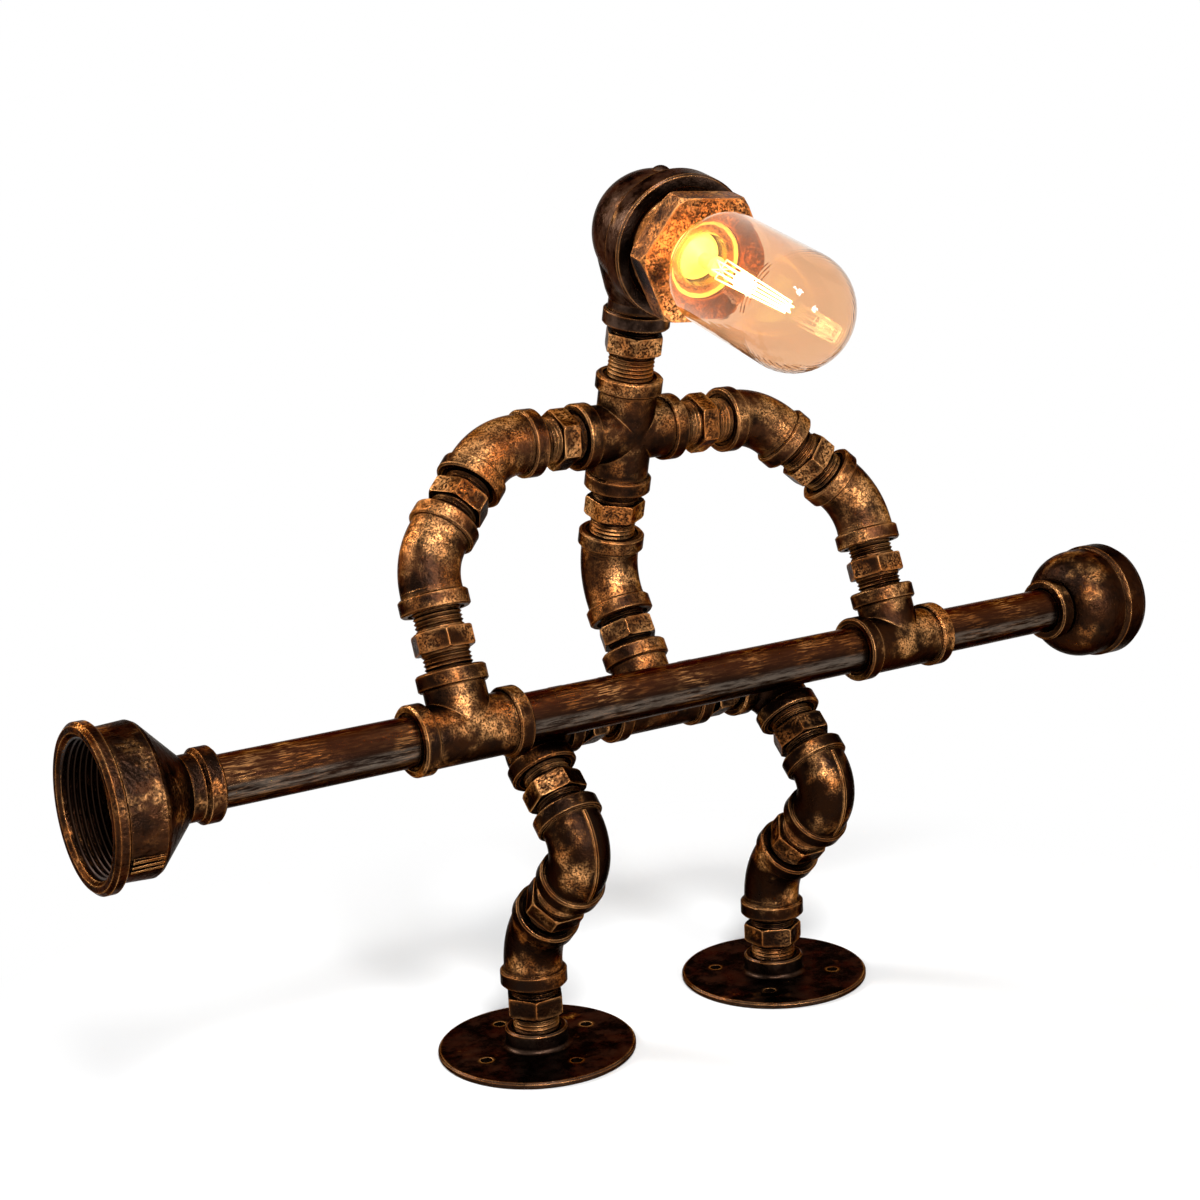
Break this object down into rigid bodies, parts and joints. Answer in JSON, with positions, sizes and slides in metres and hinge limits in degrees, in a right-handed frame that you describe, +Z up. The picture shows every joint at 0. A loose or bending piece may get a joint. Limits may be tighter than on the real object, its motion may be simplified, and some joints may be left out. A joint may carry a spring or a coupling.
{
  "type": "robot shaped desk lamp",
  "caption": "Desk lamp screwed together from malleable iron pipe fittings as a standing robot holding a long barrel, with a tube bulb in its head.",
  "frame": {"origin": "on the floor under the middle of the lamp's bounding box", "axes": "+X from the muzzle to the rear bell along the barrel, -Y the way the robot faces, +Z up"},
  "size_m": [0.5484, 0.1998, 0.3888],
  "materials": {
    "iron": "near black with rubbed copper and gold",
    "nipple": "rubbed copper and gold over dark brown",
    "pipe": "dark brown lacquer with a copper sheen",
    "brass": "bright",
    "ceramic": "glazed ceramic",
    "insulator": "black glass",
    "glass": "clear, faintly warm",
    "rubber": "matte",
    "filament": "glowing"
  },
  "bodies": {
    "legs": {"left_flange": "iron", "right_flange": "iron", "left_ankle_nipple": "nipple", "right_ankle_nipple": "nipple", "left_shin_elbow": "iron", "right_shin_elbow": "iron", "left_shin_nipple": "nipple", "right_shin_nipple": "nipple", "left_knee_elbow": "iron", "right_knee_elbow": "iron", "left_thigh_nipple": "nipple", "right_thigh_nipple": "nipple", "left_hip_elbow": "iron", "right_hip_elbow": "iron", "left_hip_nipple": "nipple", "right_hip_nipple": "nipple"},
    "torso": {"hip_tee": "iron", "cord_grommet": "rubber", "waist_nipple": "nipple", "spine_elbow": "iron", "chest_nipple": "nipple", "chest_cross": "iron", "left_shoulder_nipple": "nipple", "right_shoulder_nipple": "nipple", "neck_nipple": "nipple", "torso_lead": "rubber"},
    "arms": {"left_shoulder_elbow": "iron", "right_shoulder_elbow": "iron", "left_upper_arm_nipple": "nipple", "right_upper_arm_nipple": "nipple", "left_arm_elbow": "iron", "right_arm_elbow": "iron", "left_forearm_nipple": "nipple", "right_forearm_nipple": "nipple", "left_hand_tee": "iron", "right_hand_tee": "iron", "front_pipe": "pipe", "middle_pipe": "pipe", "rear_pipe": "pipe", "muzzle_reducer": "iron", "rear_bell": "iron"},
    "head": {"head_elbow": "iron", "head_bushing": "nipple", "lamp_holder": "ceramic", "screw_shell": "brass", "centre_contact": "brass", "head_lead": "rubber"},
    "bulb_tip": {"cap_contact": "brass"},
    "bulb": {"bulb_cap": "brass", "cap_insulator": "insulator", "bulb_glass": "glass", "bulb_stem": "glass", "filament": "filament"}
  },
  "joints": [
    {"name": "torso_lean", "type": "hinge", "parent": "legs", "child": "torso", "pos_m": [0.00449, 0.05373, 0.15007], "axis": [1, 0, 0], "range_deg": [-12, 8]},
    {"name": "arm_swing", "type": "hinge", "parent": "torso", "child": "arms", "pos_m": [0.00449, 0.06721, 0.27241], "axis": [-1, 0, 0], "range_deg": [0, 60]},
    {"name": "head_swivel", "type": "hinge", "parent": "torso", "child": "head", "pos_m": [0.00449, 0.04301, 0.36273], "axis": [0, -0.2588, 0.9659], "range_deg": [-90, 90]},
    {"name": "bulb_advance", "type": "slide", "parent": "head", "child": "bulb_tip", "axis": [-0.1392, -0.9565, -0.2563], "range_m": [0, 0.01086]},
    {"name": "bulb_turn", "type": "hinge", "parent": "bulb_tip", "child": "bulb", "pos_m": [0.00449, 0.04301, 0.36273], "axis": [-0.1392, -0.9565, -0.2563], "range_deg": [0, 1080]}
  ],
  "couplings": [
    {"joint": "bulb_turn", "follows": "bulb_advance", "rad_per_m": 1735.7}
  ]
}
